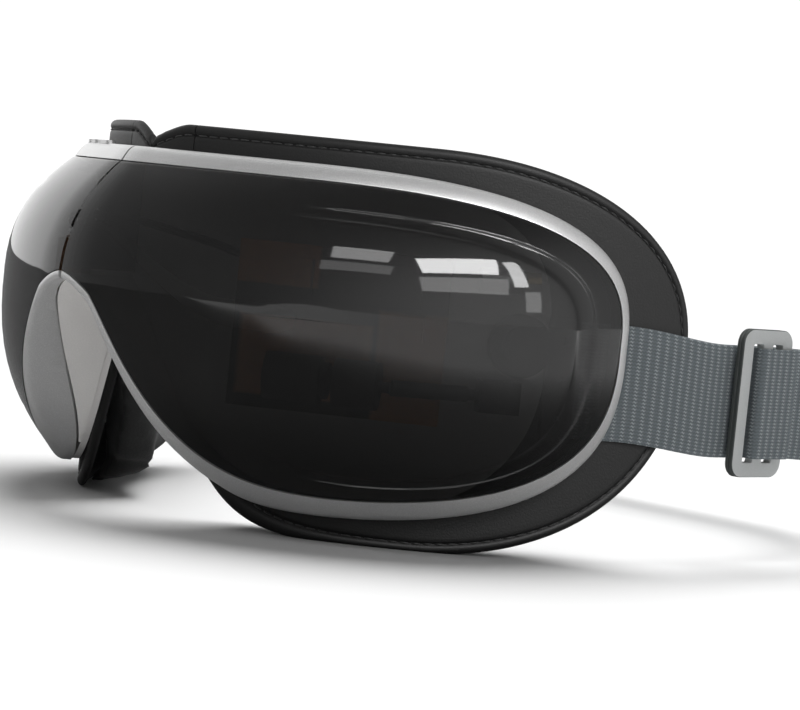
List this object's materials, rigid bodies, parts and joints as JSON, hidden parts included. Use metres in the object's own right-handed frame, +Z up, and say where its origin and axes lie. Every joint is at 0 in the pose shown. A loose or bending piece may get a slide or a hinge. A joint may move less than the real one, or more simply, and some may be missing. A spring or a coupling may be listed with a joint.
{
  "type": "eye massager mask",
  "caption": "Padded mask worn over the eyes: two curved housings with a smoked lens that fold at the nose bridge, face cushions and an elastic strap with a sliding buckle.",
  "frame": {"origin": "on the table plane below the fold, where the plan curve of the housing crosses the plane of symmetry", "axes": "+X towards the wearer's left, -Y towards the front of the lens, +Z up"},
  "size_m": [0.2045, 0.2516, 0.102],
  "materials": {
    "silver_bezel": "satin silver paint with a fine metal flake",
    "smoked_lens": "dark smoked, high gloss",
    "grey_shell": "warm grey, moulded",
    "black_leather": "black leather-like cover, stitched",
    "soft_leather": "soft black leather-like cover",
    "bladder_film": "thin grey film",
    "copper_film": "copper heating film",
    "steel": "plain steel",
    "board_brown": "brown circuit board",
    "board_green": "green circuit board",
    "battery_wrap": "shrink wrap",
    "hose_rubber": "milky tube",
    "black_plastic": "black, moulded",
    "brass_weight": "sintered",
    "clear_guide": "clear light guide",
    "grey_webbing": "blue-grey ribbed elastic webbing",
    "buckle_grey": "light grey, satin",
    "wire_red": "sleeved wires"
  },
  "bodies": {
    "left_half": {"bezel_left": "silver_bezel", "lens_left": "smoked_lens", "back_shell_left": "grey_shell", "nose_liner_left": "grey_shell", "seam_cap_left": "grey_shell", "cushion_panel_left": "black_leather", "brow_tab_left": "black_leather", "face_cushion_left": "soft_leather", "air_bladder_left": "bladder_film", "heating_pad_left": "copper_film", "hinge_pin": "steel", "hinge_leaf_left": "steel", "bridge_gusset": "soft_leather", "main_board": "board_brown", "air_pump": "black_plastic", "pump_motor": "steel", "air_valve": "black_plastic", "air_hose": "hose_rubber", "vibration_motor_left": "steel", "speaker_left": "black_plastic", "strap_left": "grey_webbing", "strap_back": "grey_webbing", "strap_anchor_left": "black_plastic", "shell_screws_left": "steel", "wire_bundle": "wire_red"},
    "right_half": {"bezel_right": "silver_bezel", "lens_right": "smoked_lens", "back_shell_right": "grey_shell", "nose_liner_right": "grey_shell", "seam_cap_right": "grey_shell", "cushion_panel_right": "black_leather", "brow_tab_right": "black_leather", "face_cushion_right": "soft_leather", "air_bladder_right": "bladder_film", "heating_pad_right": "copper_film", "hinge_leaf_right": "steel", "battery": "battery_wrap", "charge_board": "board_green", "vibration_motor_right": "steel", "speaker_right": "black_plastic", "button_board": "board_green", "charging_port": "steel", "status_light": "clear_guide", "strap_right": "grey_webbing", "strap_anchor_right": "black_plastic", "shell_screws_right": "steel"},
    "buckle_slider": {"buckle": "buckle_grey", "strap_fold": "grey_webbing"},
    "crank": {"pump_crank": "black_plastic"},
    "weight_left": {"vibration_weight_left": "brass_weight"},
    "weight_right": {"vibration_weight_right": "brass_weight"},
    "power_key": {"power_button": "silver_bezel"},
    "mode_key": {"mode_button": "silver_bezel"},
    "sound_key": {"sound_button": "silver_bezel"}
  },
  "joints": [
    {"name": "fold", "type": "hinge", "parent": "left_half", "child": "right_half", "pos_m": [0, 0.0105, 0.0767], "axis": [0, 0, -1], "range_deg": [0, 75], "deforming": ["bridge_gusset", "wire_bundle", "strap_back"]},
    {"name": "buckle_slide", "type": "slide", "parent": "left_half", "child": "buckle_slider", "axis": [-0.0349, 0.9994, 0], "range_m": [-0.0075, 0.0145]},
    {"name": "pump_turn", "type": "hinge", "parent": "left_half", "child": "crank", "pos_m": [0.05767, 0.02025, 0.0417], "axis": [0.7853, 0.6191, 0], "continuous": true},
    {"name": "vibration_left", "type": "hinge", "parent": "left_half", "child": "weight_left", "pos_m": [0.08364, 0.05613, 0.0707], "axis": [0.5577, 0.83, 0], "continuous": true},
    {"name": "vibration_right", "type": "hinge", "parent": "right_half", "child": "weight_right", "pos_m": [-0.08364, 0.05613, 0.0707], "axis": [-0.5577, 0.83, 0], "continuous": true},
    {"name": "power_press", "type": "slide", "parent": "right_half", "child": "power_key", "axis": [0, 0, -1], "range_m": [0, 0.0006], "stiffness_N_per_m": 600},
    {"name": "mode_press", "type": "slide", "parent": "right_half", "child": "mode_key", "axis": [0, 0, -1], "range_m": [0, 0.0006], "stiffness_N_per_m": 600},
    {"name": "sound_press", "type": "slide", "parent": "right_half", "child": "sound_key", "axis": [0, 0, -1], "range_m": [0, 0.0006], "stiffness_N_per_m": 600}
  ]
}
